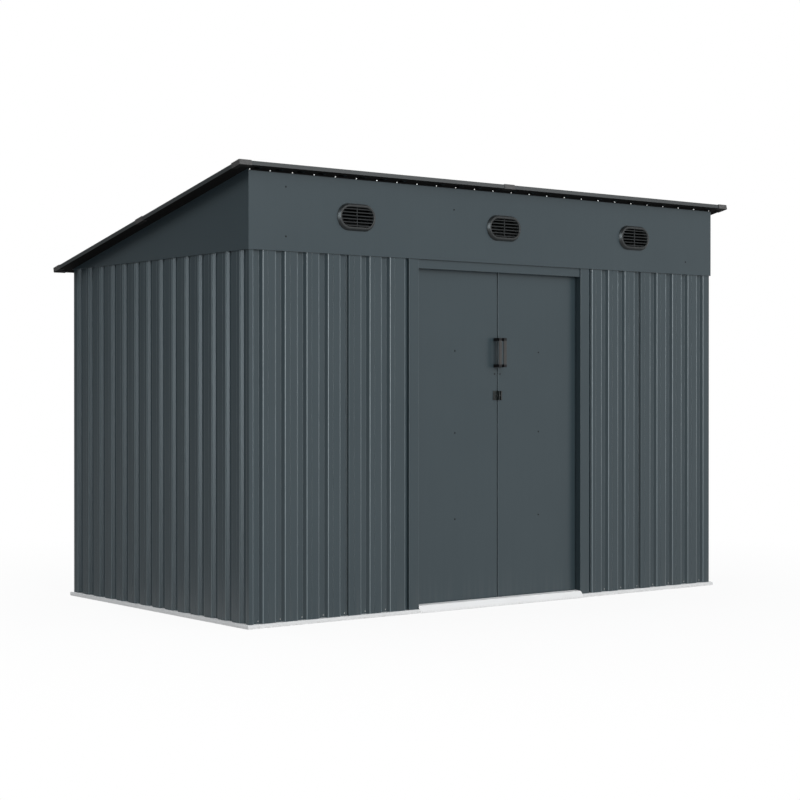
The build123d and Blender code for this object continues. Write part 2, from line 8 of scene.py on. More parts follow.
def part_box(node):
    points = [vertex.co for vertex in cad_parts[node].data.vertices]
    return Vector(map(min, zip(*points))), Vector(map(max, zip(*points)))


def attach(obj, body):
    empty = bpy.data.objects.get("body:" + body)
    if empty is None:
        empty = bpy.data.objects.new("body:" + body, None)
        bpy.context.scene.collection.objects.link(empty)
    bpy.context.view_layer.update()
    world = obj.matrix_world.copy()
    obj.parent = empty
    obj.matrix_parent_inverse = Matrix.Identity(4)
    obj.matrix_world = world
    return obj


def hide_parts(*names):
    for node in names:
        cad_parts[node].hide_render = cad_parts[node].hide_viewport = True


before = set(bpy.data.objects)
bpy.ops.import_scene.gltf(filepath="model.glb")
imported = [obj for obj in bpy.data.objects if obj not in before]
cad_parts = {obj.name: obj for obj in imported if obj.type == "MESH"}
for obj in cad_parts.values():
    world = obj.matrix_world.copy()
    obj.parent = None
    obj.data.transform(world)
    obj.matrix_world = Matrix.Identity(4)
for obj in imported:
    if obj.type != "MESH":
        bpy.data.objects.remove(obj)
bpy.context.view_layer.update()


# The set: a plain pale floor under a white world, large soft lamps, strips that only draw sheen on the
# rolled bends and the vents, and a camera at eye height off the left front corner.
class Tone:
    """An output of a finish that is being mixed. Sums and products of tones add Math nodes."""

    def __init__(self, tree, socket=None):
        self.tree = tree
        self.socket = socket

    def add(self, kind, settings, sockets, output=0):
        node = self.tree.nodes.new("ShaderNode" + kind)
        for name, value in settings.items():
            setattr(node, name, value)
        for name, value in sockets.items():
            if isinstance(value, Tone):
                self.tree.links.new(value.socket, node.inputs[name])
            else:
                node.inputs[name].default_value = value
        return Tone(self.tree, node.outputs[output] if node.outputs else None)

    def math(self, operation, *terms):
        return self.add("Math", {"operation": operation}, dict(enumerate(terms)))

    def __add__(self, other):
        return self.math("ADD", self, other)

    def __sub__(self, other):
        return self.math("SUBTRACT", self, other)

    def __rsub__(self, other):
        return self.math("SUBTRACT", other, self)

    def __mul__(self, other):
        return self.math("MULTIPLY", self, other)

    __radd__, __rmul__ = __add__, __mul__

    def axis(self, letter):
        """One coordinate of a place or a direction."""
        return self.add("SeparateXYZ", {}, {"Vector": self}, output=letter)

    def between(self, low, high):
        """Goes from 0 to 1, in an even slope, as this value goes from low to high."""
        return self.add("MapRange", {}, {"Value": self, "From Min": low, "From Max": high})

    def blend(self, first, second):
        """The first colour where this value is 0, and the second where it is 1."""
        return self.add("Mix", {"data_type": "RGBA"}, {0: self, 6: first, 7: second}, output=2)

    def layer(self, first, second):
        """The first shader where this value is 0, and the second where it is 1."""
        return self.add("MixShader", {}, {0: self, 1: first, 2: second})


def seen_directly(tone):
    rays = [tone.add("LightPath", {}, {}, output=ray)
            for ray in ("Is Camera Ray", "Is Glossy Ray", "Is Transmission Ray")]
    return tone.math("MAXIMUM", tone.math("MAXIMUM", rays[0], rays[1]), rays[2])


def not_by_camera(tone):
    return 1 - tone.add("LightPath", {}, {}, output="Is Camera Ray")


white, unlit = (1, 1, 1, 1), (0, 0, 0, 1)
world = bpy.data.worlds.new("white_studio")
world.use_nodes = True
world.node_tree.nodes.clear()
bpy.context.scene.world = world
sky = Tone(world.node_tree)
sky_facing = sky.add("TexCoord", {}, {}, output="Generated")
sky_tint = sky_facing.axis("Z").between(0, 0.6).blend((0.06, 0.06, 0.06, 1), (0.55, 0.57, 0.59, 1))
sky_light = sky.add("Background", {}, {"Color": sky_tint})
sky_behind = sky.add("VectorMath", {"operation": "DOT_PRODUCT"}, {0: sky_facing, 1: (-0.8, 0.6, 0)},
                     output="Value")
sky_dim = sky_behind.between(-0.35, 0.5) * 0.8 * not_by_camera(sky)
sky_white = sky.add("Background", {}, {"Color": sky_dim.blend(white, unlit)})
sky.add("OutputWorld", {}, {"Surface": seen_directly(sky).layer(sky_light, sky_white)})

floor_half = 30
floor_mesh = bpy.data.meshes.new("studio_floor")
floor_mesh.from_pydata([(-floor_half, -floor_half, 0), (floor_half, -floor_half, 0),
                        (floor_half, floor_half, 0), (-floor_half, floor_half, 0)], [], [(0, 1, 2, 3)])
floor = bpy.data.objects.new("studio_floor", floor_mesh)
bpy.context.scene.collection.objects.link(floor)
floor_finish = bpy.data.materials.new("pale_floor")
floor_finish.use_nodes = True
floor_finish.node_tree.nodes.clear()
floor_mesh.materials.append(floor_finish)
ground = Tone(floor_finish.node_tree)
ground_place = ground.add("TexCoord", {}, {}, output="Object")
ground_reach = ground.add("VectorMath", {"operation": "LENGTH"}, {0: ground_place}, output="Value")
ground_deep = ground_place.axis("Y")
under_roof = ((1 - ground.math("ABSOLUTE", ground_place.axis("X")).between(1.27, 1.30))
              * (1 - ground.math("ABSOLUTE", ground_deep).between(0.68, 0.72)))
whiteness = (ground_reach.between(1.2, 3.6) * 0.10 + 0.90) * (1 - 0.75 * under_roof)
ground_shaded = ground.add("BsdfDiffuse", {}, {"Color": (0.86, 0.86, 0.86, 1)})
ground_dim = 0.6 * ground_deep.between(-0.6, 0.9) * not_by_camera(ground)
ground_white = ground.add("Emission", {}, {"Color": ground_dim.blend(white, unlit)})
ground_bounce = ground.add("BsdfDiffuse", {}, {"Color": (0.40, 0.405, 0.41, 1)})
ground_shown = seen_directly(ground).layer(ground_bounce, whiteness.layer(ground_shaded, ground_white))
ground.add("OutputMaterial", {}, {"Surface": ground_shown})

lit_centre = Vector((0, 0, 0.9))
for lamp_name, lamp_place, lamp_size, lamp_power, sheen_only in (
    ("front_lamp", (-1.2, -11.2, 4.2), 6.0, 605, False),
    ("front_right_lamp", (5.8, -7.6, 7.2), 5.0, 150, False),
    ("left_lamp", (-9.0, 0.2, 7.2), 4.0, 220, False),
    ("back_lamp", (-1.0, 9.5, 7.5), 4.0, 300, False),
    ("front_strip", (-1.2, -11.4, 1.0), 2.4, 240, True),
    ("camera_side_strip", (-7.4, -6.7, 1.3), 2.6, 185, True),
    ("right_strip", (10.9, -1.4, 1.3), 2.4, 105, True),
    ("vent_strip", (-9.6, -2.5, 4.2), 6.0, 2000, True),
):
    lamp_data = bpy.data.lights.new(lamp_name, "AREA")
    lamp_data.size = lamp_size
    lamp_data.energy = lamp_power
    if sheen_only:
        lamp_data.color = (0.82, 0.94, 1.0)
    lamp = bpy.data.objects.new(lamp_name, lamp_data)
    lamp.location = lamp_place
    lamp.rotation_euler = (lit_centre - Vector(lamp_place)).to_track_quat("-Z", "Y").to_euler()
    lamp.visible_diffuse = not sheen_only
    lamp.visible_camera = False
    bpy.context.scene.collection.objects.link(lamp)

camera_data = bpy.data.cameras.new("eye_height_camera")
camera_data.sensor_width = 36
camera_data.lens = 79.96
camera = bpy.data.objects.new("eye_height_camera", camera_data)
camera.location = (-5.0928, -6.6049, 0.9250)
camera.rotation_euler = (math.radians(90 - 0.228), 0, math.radians(-37.661))
bpy.context.scene.collection.objects.link(camera)
bpy.context.scene.camera = camera
bpy.context.scene.view_settings.view_transform = "Standard"


# Base rails: folded steel channels with a pale coat, laid on the ground as a frame. Their upstands
# take the bottom screws of the walls.
def start_finish(name):
    """A new finish with nothing on it, its tone, and the place on the piece that patterns follow."""
    finish = bpy.data.materials.new(name)
    finish.use_nodes = True
    finish.node_tree.nodes.clear()
    tone = Tone(finish.node_tree)
    return finish, tone, tone.add("TexCoord", {}, {}, output="Object")


def coat_nodes(finish, *names):
    for name in names:
        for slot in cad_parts[name].material_slots:
            slot.material = finish


pale_coat, pale, pale_place = start_finish("pale_rail_coat")
pale_cloud = pale.add("TexNoise", {}, {"Vector": pale_place, "Scale": 7.0, "Detail": 5.0})
pale_speck = pale.add("TexNoise", {}, {"Vector": pale_place, "Scale": 160.0, "Detail": 3.0})
pale_peel = pale.add("TexNoise", {}, {"Vector": pale_place, "Scale": 700.0, "Detail": 2.0})
dusty = (1 - pale_place.axis("Z").between(0.0, 0.012)) * pale_speck.between(0.35, 0.7) * 0.6
pale_clean = pale_cloud.between(0.3, 0.7).blend((0.85, 0.85, 0.85, 1), (0.90, 0.90, 0.895, 1))
pale_colour = dusty.blend(pale_clean, (0.50, 0.485, 0.46, 1))
pale_bump = pale.add("Bump", {}, {"Strength": 0.25, "Distance": 0.0003, "Height": pale_peel})
pale_shader = pale.add("BsdfPrincipled", {}, {
    "Base Color": pale_colour, "Roughness": 0.42 + pale_cloud * 0.16, "Normal": pale_bump})
pale.add("OutputMaterial", {}, {"Surface": pale_shader})
coat_nodes(pale_coat, "front_base_rails", "side_base_rails", "back_base_rail")


# Door ramp: one folded sheet of steel with the same pale coat, screwed down between the front rails. Its
# sloping face has rounded upper corners, and the trough behind it guides the leaves.
def wrapped(shape, first, second):
    """Joins two like rings of points by faces all round."""
    for step in range(len(first)):
        after = (step + 1) % len(first)
        shape.faces.new((first[step], first[after], second[after], second[step]))


def prism(shape, *outlines):
    """Adds a closed bar between two like outlines."""
    first, second = [[shape.verts.new(point) for point in outline] for outline in outlines]
    wrapped(shape, first, second)
    shape.faces.new(first)
    shape.faces.new(second[::-1])


def folded_strip(shape, path, thickness, start, end):
    """Adds a strip that is folded along a path of depths and heights and runs from start to end."""
    points = [Vector(point) for point in path]
    inner = []
    for number, point in enumerate(points):
        before = (point - points[number - 1]).normalized() if number else None
        after = (points[number + 1] - point).normalized() if number + 1 < len(points) else before
        before = before or after
        facing = (Vector((before.y, -before.x)) + Vector((after.y, -after.x))).normalized()
        inner.append(point + facing * thickness / facing.dot(Vector((after.y, -after.x))))
    outline = points + inner[::-1]
    ends = [[shape.verts.new((x, depth, height)) for depth, height in outline] for x in (start, end)]
    wrapped(shape, *ends)
    for number in range(len(points) - 1):
        for side in ends:
            shape.faces.new((side[number], side[number + 1], side[-number - 2], side[-number - 1]))


def finished_piece(name, shape, finish, body):
    """Turns a built shape into a piece with its finish, which rides on a body."""
    mesh = bpy.data.meshes.new(name)
    shape.to_mesh(mesh)
    shape.free()
    mesh.materials.append(finish)
    piece = bpy.data.objects.new(name, mesh)
    bpy.context.scene.collection.objects.link(piece)
    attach(piece, body)
    return piece


ramp_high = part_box("door_ramp")[1]
wall_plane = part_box("front_wall_left_outer")[0].y
ramp_sheet, ramp_rise, ramp_corner, corner_steps = 0.0015, 0.028, 0.006, 6
rail_lip, rail_top, rail_tongue, hairline = 0.013, 0.0155, 0.014, 0.0003
plate_overlap, plate_reach, toe_lift, plate_gap, trough_depth = 0.003, 0.020, 0.0009, 0.0008, 0.0291
door_half = ramp_high.x - rail_tongue
plate_half = door_half + plate_overlap
plate_toe = Vector((wall_plane - plate_reach, toe_lift))
plate_top = Vector((wall_plane - plate_gap, ramp_rise))
plate_run = (plate_top - plate_toe).length
plate_up = (plate_top - plate_toe) / plate_run
plate_back = Vector((plate_up.y, -plate_up.x)) * ramp_sheet
plate_outline = [(plate_half, 0)]
for step in range(corner_steps + 1):
    swing = math.pi / 2 * step / corner_steps
    plate_outline.append((plate_half - ramp_corner * (1 - math.cos(swing)),
                          plate_run - ramp_corner * (1 - math.sin(swing))))
plate_outline += [(-across, up) for across, up in reversed(plate_outline)]
plate_faces = []
for level in (Vector((0, 0)), plate_back):
    places = [(across, plate_toe + plate_up * up + level) for across, up in plate_outline]
    plate_faces.append([(across, place.x, place.y) for across, place in places])
shape = bmesh.new()
prism(shape, *plate_faces)
trough_front, trough_back = wall_plane + trough_depth, ramp_high.y
folded_strip(shape, [(plate_top.x, ramp_rise), (trough_front, ramp_high.z), (trough_front, ramp_sheet),
                     (trough_back, ramp_sheet), (trough_back, ramp_high.z)], -ramp_sheet,
             hairline - door_half, door_half - hairline)
for start, end in ((-ramp_high.x, -plate_half), (plate_half, ramp_high.x)):
    folded_strip(shape, [(wall_plane - rail_lip, 0), (wall_plane - rail_lip, rail_top),
                         (wall_plane - hairline, rail_top)], ramp_sheet, start, end)
bmesh.ops.recalc_face_normals(shape, faces=shape.faces)
ramp = finished_piece("folded_ramp", shape, pale_coat, "shed")
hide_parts("door_ramp")


# Corrugated walls: cold-rolled sheet steel, powder-coated anthracite, with a painted highlight along the
# bends. Each sheet stands on the base rail's shelf, and the front and back ones are screwed to its
# upstand through their grooves, with zinc button heads.
def anthracite(name):
    """The powder coat as a new finish, with its tone, its place and the shader for its output."""
    finish, coat, place = start_finish(name)
    cloud = coat.add("TexNoise", {}, {"Vector": place, "Scale": 3.0, "Detail": 6.0})
    stretch = coat.add("Mapping", {}, {"Vector": place, "Scale": (60, 60, 2.5)})
    streak = coat.add("TexNoise", {}, {"Vector": stretch, "Scale": 1.0, "Detail": 3.0})
    grain = coat.add("TexNoise", {}, {"Vector": place, "Scale": 420.0, "Detail": 4.0})
    peel = coat.add("TexNoise", {}, {"Vector": place, "Scale": 260.0, "Detail": 1.0})
    shade = cloud.between(0.25, 0.75) * 0.6 + streak.between(0.3, 0.7) * 0.25 + grain * 0.15
    clean = shade.blend((0.033, 0.051, 0.060, 1), (0.039, 0.058, 0.067, 1))
    # Faces turned part way between a crest and a groove wall, the rolled bends, are painted much lighter:
    # a painted highlight.
    facing = coat.add("NewGeometry", {}, {}, output="Normal")
    turn = coat.math("ABSOLUTE", facing.axis("X") * facing.axis("Y"))
    painted_bend_highlight = turn.between(0.12, 0.24) * (1 - turn.between(0.42, 0.47))
    coat_with_painted_highlight = painted_bend_highlight.blend(clean, (0.150, 0.185, 0.200, 1))
    splash = (1 - place.axis("Z").between(0.015, 0.16)) * streak.between(0.45, 0.85) * 0.22
    colour = splash.blend(coat_with_painted_highlight, (0.13, 0.13, 0.125, 1))
    rough = 0.27 + cloud * 0.04 + grain * 0.04 + splash * 0.4
    bump = coat.add("Bump", {}, {"Strength": 0.02, "Distance": 0.0004, "Height": peel + grain * 0.3})
    shader = coat.add("BsdfPrincipled", {}, {
        "Base Color": colour, "Roughness": rough, "Normal": bump, "Specular IOR Level": 0.375})
    return finish, coat, place, shader


paint, coat, _, coat_shader = anthracite("anthracite_coat")
coat.add("OutputMaterial", {}, {"Surface": coat_shader})

front_rows, side_rows, pitch, wall_sheet = 25, 14, 0.105, 0.0008
wall_width, wall_depth = front_rows * pitch, side_rows * pitch
groove_depth, groove_mouth, groove_floor = 0.013, 0.045, 0.023
crease_depth, crease_mouth, crease_floor = 0.002, 0.0024, 0.0014
crest_bend, floor_bend, tight_bend_share, steps_per_radian = 0.009, 0.0015, 0.3, 9
groove_share, side_groove_share, crease_share, end_room = 0.405, 0.43, 0.85, 0.005
front_low, back_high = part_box("front_wall_left_outer")[0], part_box("back_wall_left")[1]
right_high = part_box("right_wall")[1]
wall_bottom, wall_top = front_low.z, back_high.z


def rolled_skin(corners):
    """Points along a rolled sheet's outer skin, each with the direction that the skin faces there."""
    points = [Vector(corner) for corner in corners]
    skin = []
    for before, corner, after in zip(points, points[1:], points[2:]):
        first, second = (corner - before).normalized(), (after - corner).normalized()
        turn = math.atan2(first.x * second.y - first.y * second.x, first.dot(second))
        shortest = min((corner - before).length, (after - corner).length)
        on_crest = corner.y == 0 and shortest > crest_bend
        radius = crest_bend if on_crest else min(floor_bend, tight_bend_share * shortest)
        setback = radius * math.tan(abs(turn) / 2)
        side = math.copysign(radius, turn)
        centre = corner - first * setback + side * Vector((-first.y, first.x))
        steps = max(2, round(abs(turn) * steps_per_radian))
        if not skin:
            skin.append((points[0], Vector((first.y, -first.x))))
        for step in range(steps + 1):
            angle = turn * step / steps
            facing = Matrix.Rotation(angle, 2) @ Vector((first.y, -first.x))
            skin.append((centre + side * facing, facing))
    last = (points[-1] - points[-2]).normalized()
    return skin + [(points[-1], Vector((last.y, -last.x)))]


def corrugated(share, low, high):
    """Corners of a wall's skin between two places along it: grooves, and a crease on each crest."""
    corners = [(low, 0)]
    room = groove_mouth / 2 + end_room
    for row in range(front_rows):
        groove, crease = (row + share) * pitch, (row + crease_share) * pitch
        if low + room < groove < high - room:
            corners += [(groove - groove_mouth / 2, 0), (groove - groove_floor / 2, groove_depth),
                        (groove + groove_floor / 2, groove_depth), (groove + groove_mouth / 2, 0)]
        if low + room < crease < high - room:
            corners += [(crease - crease_mouth / 2, 0), (crease - crease_floor / 2, crease_depth),
                        (crease + crease_floor / 2, crease_depth), (crease + crease_mouth / 2, 0)]
    return corners + [(high, 0)]


def rolled_sheet(node, corners, start, along, inward):
    """A standing sheet in place of a wall node, with true facing directions on its rolled bends."""
    skin = rolled_skin(corners)
    shape = bmesh.new()
    for point, facing in skin:
        for depth in (0, wall_sheet):
            level = point - facing * depth
            place = Vector(start) + Vector(along) * level.x + Vector(inward) * level.y
            for height in (wall_bottom, wall_top):
                shape.verts.new((place.x, place.y, height))
    shape.verts.ensure_lookup_table()
    around = (0, 1, 3, 2)
    rings = [[shape.verts[4 * step + number] for number in around] for step in range(len(skin))]
    for ring, after in zip(rings, rings[1:]):
        wrapped(shape, ring, after)
    shape.faces.new(rings[0])
    shape.faces.new(rings[-1])
    bmesh.ops.recalc_face_normals(shape, faces=shape.faces)
    sheet = finished_piece(node + "_sheet", shape, paint, "shed")
    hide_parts(node)
    facings = []
    for face in sheet.data.polygons:
        for vertex in face.vertices:
            facing = skin[vertex // 4][1]
            outward = Vector(along) * facing.x + Vector(inward) * facing.y
            lean = face.normal.dot(outward)
            cut_edge = face.normal.z ** 2 > 0.5 or abs(lean) < 0.5
            facings.append(face.normal if cut_edge else math.copysign(1, lean) * outward)
    sheet.data.normals_split_custom_set(facings)
    return sheet


seam_gap, seam_fold, seam_lap = 0.0022, 0.008, 0.010


def parted(corners, row):
    """The skin's two halves at a seam in the far wall of a groove. The first folds in and laps behind
    the second, which leaves a narrow slit between them."""
    middle = (row + groove_share) * pitch + (groove_mouth + groove_floor) / 4
    seam = Vector((middle, groove_depth / 2))
    wall = Vector(((groove_mouth - groove_floor) / 2, -groove_depth)).normalized()
    edge = seam - wall * seam_gap
    fold = edge + Vector((-wall.y, wall.x)) * seam_fold
    return ([corner for corner in corners if corner[0] < seam.x] + [edge, fold, fold + wall * seam_lap],
            [seam + wall * seam_gap] + [corner for corner in corners if corner[0] > seam.x])


to_right, to_left, to_back, to_front = (1, 0, 0), (-1, 0, 0), (0, 1, 0), (0, -1, 0)
left_seam_row, right_seam_row, back_seam_row = 4, 20, 12
doorway_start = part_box("front_wall_left_inner")[1].x - front_low.x
doorway_end = wall_width - doorway_start
front_corner = (front_low.x, front_low.y, 0)
left_half = corrugated(groove_share, 0, doorway_start) + [(doorway_start, groove_depth)]
right_half = [(doorway_end, groove_depth)] + corrugated(groove_share, doorway_end, wall_width)
left_outer, left_inner = parted(left_half, left_seam_row)
right_inner, right_outer = parted(right_half, right_seam_row)
for node, corners in (("front_wall_left_outer", left_outer), ("front_wall_left_inner", left_inner),
                      ("front_wall_right_inner", right_inner), ("front_wall_right_outer", right_outer)):
    rolled_sheet(node, corners, front_corner, to_right, to_back)

side_corners = corrugated(side_groove_share, wall_sheet, wall_depth - wall_sheet)
left_side = bpy.data.collections.new("left_side")
left_side.objects.link(rolled_sheet("left_wall", side_corners, front_corner, to_back, to_right))
bpy.data.objects["camera_side_strip"].light_linking.receiver_collection = left_side
right_corner = (right_high.x, front_low.y, 0)
right_side = bpy.data.collections.new("right_side")
right_side.objects.link(rolled_sheet("right_wall", side_corners, right_corner, to_back, to_left))
right_side.collection_objects[0].light_linking.link_state = "EXCLUDE"
bpy.data.objects["right_strip"].light_linking.receiver_collection = right_side

back_corner = (right_high.x, back_high.y, 0)
back_halves = parted(corrugated(groove_share, 0, wall_width), back_seam_row)
for node, corners in zip(("back_wall_right", "back_wall_left"), back_halves):
    rolled_sheet(node, corners, back_corner, to_left, to_front)


def turned_heads(name, outline, places, finish, body):
    """Screw heads turned from one outline of radii and heights, each seated at a place and facing out."""
    sides = 14
    turns = [2 * math.pi * side / sides for side in range(sides)]
    shape = bmesh.new()
    for point, facing in places:
        seat = Matrix.Translation(point) @ Vector(facing).to_track_quat("Z", "Y").to_matrix().to_4x4()
        rings = []
        for radius, height in outline:
            points = [Vector((radius * math.cos(turn), radius * math.sin(turn), height)) for turn in turns]
            rings.append([shape.verts.new(seat @ point) for point in points])
        for low, high in zip(rings, rings[1:]):
            wrapped(shape, low, high)
        shape.faces.new(rings[-1])
        shape.faces.new(rings[0][::-1])
    return finished_piece(name, shape, finish, body)


def clouded(name, scale, dark, pale, smoothest, roughest, constants, detail=3.0, edges=(0.3, 0.7)):
    """A finish in soft clouds of two close shades, from its smoothest to its roughest."""
    finish, tone, place = start_finish(name)
    cloud = tone.add("TexNoise", {}, {"Vector": place, "Scale": scale, "Detail": detail})
    colour = cloud.between(*edges).blend(dark, pale)
    rough = smoothest + cloud * (roughest - smoothest)
    shader = tone.add("BsdfPrincipled", {}, {"Base Color": colour, "Roughness": rough, **constants})
    tone.add("OutputMaterial", {}, {"Surface": shader})
    return finish


zinc = clouded("zinc_plate", 240.0, (0.66, 0.67, 0.68, 1), (0.82, 0.82, 0.80, 1), 0.28, 0.48,
               {"Metallic": 0.9})
dull_zinc = clouded("weathered_zinc", 240.0, (0.24, 0.25, 0.25, 1), (0.36, 0.36, 0.35, 1), 0.42, 0.62,
                    {"Metallic": 0.7})
button_head = [(0.0031, -0.0004), (0.0031, 0.0009), (0.0025, 0.0018), (0.0014, 0.0022), (0.0010, 0.0016)]
screw_height, screw_offset = 0.026, 0.007
rows_beside_doorway = (*range(7), *range(18, front_rows))
front_grooves = [front_low.x + (row + groove_share) * pitch for row in rows_beside_doorway]
back_grooves = [right_high.x - (row + groove_share) * pitch for row in range(front_rows)]
wall_screws = [((x + screw_offset, front_low.y + groove_depth, screw_height), to_front)
               for x in front_grooves]
wall_screws += [((x - screw_offset, back_high.y - groove_depth, screw_height), to_back)
                for x in back_grooves]
turned_heads("wall_base_screws", button_head, wall_screws, dull_zinc, "shed")


# Corner posts, top rails, door track and purlins: hot-dip galvanised steel angles and channels,
# bolted inside the walls. The zinc shows its crystal spangle.
galvanised, bare, bare_place = start_finish("spangled_zinc")
spangle = bare.add("TexVoronoi", {}, {"Vector": bare_place, "Scale": 90.0}, output="Color")
spangle_shade = bare.add("RGBToBW", {}, {"Color": spangle})
bare_cloud = bare.add("TexNoise", {}, {"Vector": bare_place, "Scale": 14.0, "Detail": 4.0})
bare_shade = spangle_shade * 0.7 + bare_cloud * 0.3
bare_colour = bare_shade.blend((0.42, 0.43, 0.44, 1), (0.62, 0.63, 0.64, 1))
bare_shader = bare.add("BsdfPrincipled", {}, {
    "Base Color": bare_colour, "Metallic": 0.85, "Roughness": 0.38 + spangle_shade * 0.2})
bare.add("OutputMaterial", {}, {"Surface": bare_shader})
coat_nodes(galvanised, "corner_posts", "front_top_rail", "side_top_rails", "back_top_rail", "door_track",
           "roof_purlins")


# Doorway: jambs folded from the wall's sheet, with a sunk step and a return, and a header strip that
# covers the track. Both are coated like the walls and screwed to the rails behind them.
coat_nodes(paint, "door_jambs", "door_header")


# Fascia over the doors and gables over the sides: flat coated sheets whose bottom flanges lie on the
# walls. Dark self-tapping screws hold them to the rails inside, and under the front trim the fascia's
# top edge is painted near black as the trim's shadow.
coat_nodes(paint, "left_gable", "right_gable")


def coat_with_painted_shade(tone, place, coat_shader, shade_mask):
    """Puts a coat on a finish, with matte near-black painted shade where the mask is set."""
    cloud = tone.add("TexNoise", {}, {"Vector": place, "Scale": 40.0, "Detail": 3.0})
    colour = cloud.blend((0.002, 0.002, 0.002, 1), (0.005, 0.005, 0.005, 1))
    painted_shade = tone.add("BsdfPrincipled", {}, {
        "Base Color": colour, "Roughness": 0.82 + cloud * 0.1, "Specular IOR Level": 0.07})
    tone.add("OutputMaterial", {}, {"Surface": shade_mask.layer(coat_shader, painted_shade)})


fascia_low, fascia_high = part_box("front_fascia")
# The top band of the fascia is painted near black: a painted shadow under the front trim.
eave_shadow_band, eave_shadow_fade = 0.0065, 0.002
fascia_finish, edged, edged_place, edged_coat = anthracite("anthracite_coat_with_painted_eave_shadow")
painted_eave_shadow = edged_place.axis("Z").between(fascia_high.z - eave_shadow_band - eave_shadow_fade,
                                          fascia_high.z - eave_shadow_band)
coat_with_painted_shade(edged, edged_place, edged_coat, painted_eave_shadow)
coat_nodes(fascia_finish, "front_fascia")

black_steel = clouded("blackened_steel", 300.0, (0.004, 0.004, 0.005, 1), (0.010, 0.010, 0.011, 1),
                      0.52, 0.72, {"Specular IOR Level": 0.2})
small_head = [(0.0036, -0.0003), (0.0036, 0.0006), (0.0030, 0.0014), (0.0016, 0.0018), (0.0012, 0.0012)]
fascia_screw_places = ((-1.142, 1.743), (-1.142, 1.546), (-0.279, 1.706), (1.143, 1.547))
fascia_screws = [((x, fascia_low.y, z), to_front) for x, z in fascia_screw_places]
turned_heads("fascia_screws", small_head, fascia_screws, black_steel, "shed")


# Louvre vents: injection-moulded black plastic, with a fine mould grain. Each is a round-ended bezel
# with thin sloping slats and an upright bar, and snaps into a cut-out of the fascia by its collar.
vent_plastic, moulded, moulded_place = start_finish("moulded_black_plastic")
moulded_grain = moulded.add("TexNoise", {}, {"Vector": moulded_place, "Scale": 900.0, "Detail": 3.0})
moulded_cloud = moulded.add("TexNoise", {}, {"Vector": moulded_place, "Scale": 30.0, "Detail": 3.0})
moulded_shade = moulded_cloud.between(0.3, 0.7)
moulded_colour = moulded_shade.blend((0.011, 0.013, 0.0135, 1), (0.017, 0.020, 0.0205, 1))
moulded_bump = moulded.add("Bump", {}, {"Strength": 0.3, "Distance": 0.0002, "Height": moulded_grain})
moulded_shader = moulded.add("BsdfPrincipled", {}, {
    "Base Color": moulded_colour, "Roughness": 0.34 + moulded_grain * 0.14, "Normal": moulded_bump,
    "Specular IOR Level": 0.33})
moulded.add("OutputMaterial", {}, {"Surface": moulded_shader})

# A bezel ring is an inset from the rim and how far it stands out. A slat's section gives how far out
# and how high its points are, and the bar's how far across and how far out.
vent_flat, vent_round, bezel_steps, sharp_turn = 0.0402, 0.054, 18, math.radians(32)
bezel_rings = [(0.0135, -0.0095), (-0.0018, -0.0002), (-0.0010, 0.0030), (0.0045, 0.0115),
               (0.0055, 0.0131), (0.0075, 0.0139), (0.0115, 0.0139), (0.0128, 0.0133),
               (0.0135, 0.0118), (0.0135, -0.0095)]
slat_rows, first_slat_share, slat_seat, slat_root = 6, 0.4, 0.0075, 0.001
slat_section = [(0.0037, -0.0012), (0.0037, 0.0010), (0.0031, 0.0016), (-0.0040, 0.0046),
                (-0.0040, 0.0032), (0.0030, -0.0018)]
bar_section = [(-0.0018, 0.0020), (-0.0018, 0.0068), (-0.0009, 0.0076), (0.0009, 0.0076),
               (0.0018, 0.0068), (0.0018, 0.0020)]
bezel_turns = [math.pi * step / bezel_steps for step in range(bezel_steps + 1)]
opening_round = vent_round - bezel_rings[-1][0]
bar_reach = opening_round + slat_root
mouldings = bpy.data.collections.new("mouldings")
bpy.data.objects["vent_strip"].light_linking.receiver_collection = mouldings
for node in ("left_vent", "centre_vent", "right_vent"):
    vent_low, vent_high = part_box(node)
    vent_middle = Vector(((vent_low.x + vent_high.x) / 2, fascia_low.y, (vent_low.z + vent_high.z) / 2))
    shape = bmesh.new()
    rings = []
    for inset, proud in bezel_rings:
        outline = []
        for end in (1, -1):
            for turn in bezel_turns:
                across = end * (vent_flat + (vent_round - inset) * math.sin(turn))
                up = end * (vent_round - inset) * math.cos(turn)
                outline.append(shape.verts.new(vent_middle + Vector((across, -proud, up))))
        rings.append(outline)
    for low, high in zip(rings, rings[1:]):
        wrapped(shape, low, high)
    for row in range(slat_rows):
        level = (row + first_slat_share) * 2 * opening_round / slat_rows - opening_round
        reach = vent_flat + math.sqrt(opening_round ** 2 - level ** 2) + slat_root
        prism(shape, *[[vent_middle + Vector((across, -slat_seat - proud, level + up))
                        for proud, up in slat_section] for across in (-reach, reach)])
    prism(shape, *[[vent_middle + Vector((across, -proud, up)) for across, proud in bar_section]
                   for up in (-bar_reach, bar_reach)])
    bmesh.ops.recalc_face_normals(shape, faces=shape.faces)
    for face in shape.faces:
        face.smooth = True
    moulding = finished_piece(node + "_moulding", shape, vent_plastic, "shed")
    moulding.data.set_sharp_from_angle(angle=sharp_turn)
    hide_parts(node)
    mouldings.objects.link(moulding)


# Roof: three ribbed sheets of coated steel, held in channel trims round the edges. The trims are rolled
# from strip that is coated grey on its face, and the undersides of sheets and trims are painted near
# black as shade.
def turned_down(tone):
    facing = tone.add("NewGeometry", {}, {}, output="Normal")
    return (0 - facing.axis("Z")).between(0.5, 0.8)


roof_finish, roofed, roofed_place, roofed_coat = anthracite("anthracite_coat_with_painted_shade_underneath")
# Faces turned down are painted near black: painted shade under the roof sheets.
coat_with_painted_shade(roofed, roofed_place, roofed_coat, turned_down(roofed))
coat_nodes(roof_finish, "roof_sheet_left", "roof_sheet_middle", "roof_sheet_right")

